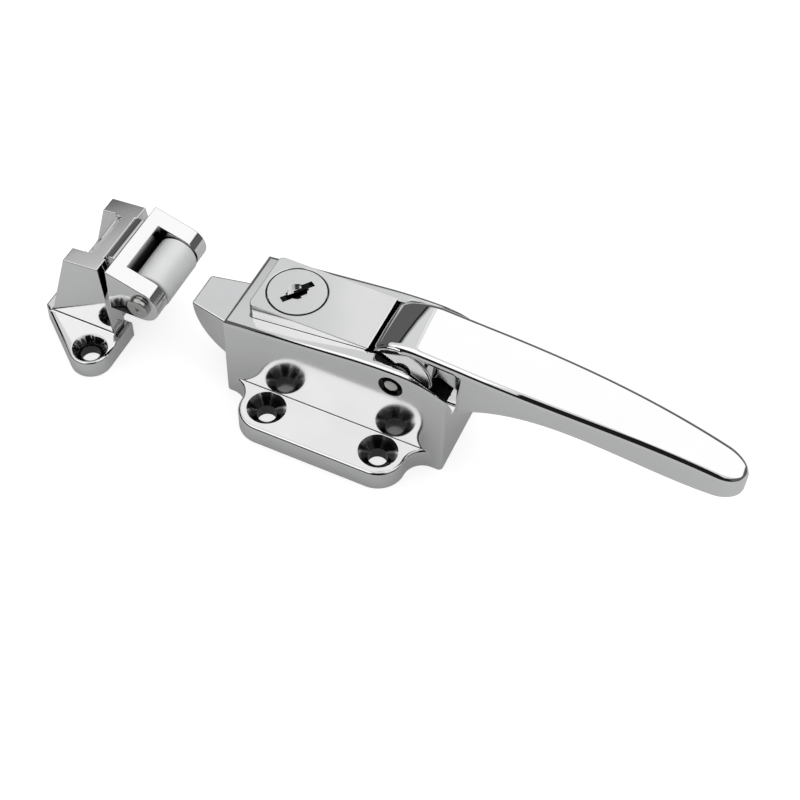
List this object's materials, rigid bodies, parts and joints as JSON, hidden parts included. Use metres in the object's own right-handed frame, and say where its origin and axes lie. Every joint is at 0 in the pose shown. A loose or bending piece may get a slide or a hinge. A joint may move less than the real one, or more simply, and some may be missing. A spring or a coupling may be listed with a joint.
{
  "type": "cold room door lock",
  "caption": "Chrome surface latch with a pull lever, sprung bolt and key lock, and a separate roller strike whose fork adjusts up and down",
  "frame": {"origin": "centre of the latch's four screw holes, on the face that meets the door", "axes": "+Z leaves the door, +X runs along the handle to its tip, the bolt points along -X at the strike"},
  "size_m": [0.2572, 0.0712, 0.0499],
  "materials": {
    "housing_chrome": "bright chrome plate on a zinc casting",
    "handle_chrome": "bright chrome plate on a zinc casting",
    "bolt_chrome": "bright chrome plate on a zinc casting",
    "strike_chrome": "bright chrome plate on a zinc casting",
    "plug_chrome": "satin chrome plate on a zinc casting",
    "roller_satin": "fine satin steel",
    "pin_steel": "turned steel",
    "spring_steel": "drawn spring wire",
    "zinc_steel": "zinc plated steel",
    "lock_brass": "machined brass",
    "bush_nylon": "plain moulded nylon"
  },
  "bodies": {
    "fixed": {"latch_housing": "housing_chrome", "back_plate": "zinc_steel", "back_plate_screws": "zinc_steel", "handle_pin": "pin_steel", "bolt_spring": "spring_steel", "spring_guide": "pin_steel", "lock_barrel": "lock_brass", "barrel_nut": "zinc_steel", "strike_base": "strike_chrome"},
    "lever": {"handle": "handle_chrome", "handle_bushes": "bush_nylon"},
    "latch_bolt": {"bolt": "bolt_chrome"},
    "key_works": {"key_plug": "plug_chrome", "wafers": "lock_brass", "lock_cam": "zinc_steel", "cam_screw": "zinc_steel"},
    "roller_arm": {"roller_fork": "strike_chrome", "roller_axle": "pin_steel", "clamp_screw": "zinc_steel", "clamp_washer": "zinc_steel"},
    "roller_wheel": {"roller": "roller_satin"}
  },
  "joints": [
    {"name": "handle_pull", "type": "hinge", "parent": "fixed", "child": "lever", "pos_m": [0.022, 0, 0.0359], "axis": [0, -1, 0], "range_deg": [0, 25], "stiffness_Nm_per_rad": 0.35, "springref_deg": -17.19},
    {"name": "bolt_slide", "type": "slide", "parent": "fixed", "child": "latch_bolt", "axis": [1, 0, 0], "range_m": [0, 0.0097], "deforming": ["bolt_spring"]},
    {"name": "key_turn", "type": "hinge", "parent": "fixed", "child": "key_works", "pos_m": [-0.02125, 0, 0.0442], "axis": [0, 0, 1], "range_deg": [0, 90]},
    {"name": "roller_adjust", "type": "slide", "parent": "fixed", "child": "roller_arm", "axis": [0, 0, 1], "range_m": [-0.004, 0.004]},
    {"name": "roller_spin", "type": "hinge", "parent": "roller_arm", "child": "roller_wheel", "pos_m": [-0.0744, 0, 0.0282], "axis": [0, 1, 0], "continuous": true}
  ],
  "couplings": [
    {"joint": "bolt_slide", "follows": "handle_pull", "m_per_rad": 0.02185}
  ]
}
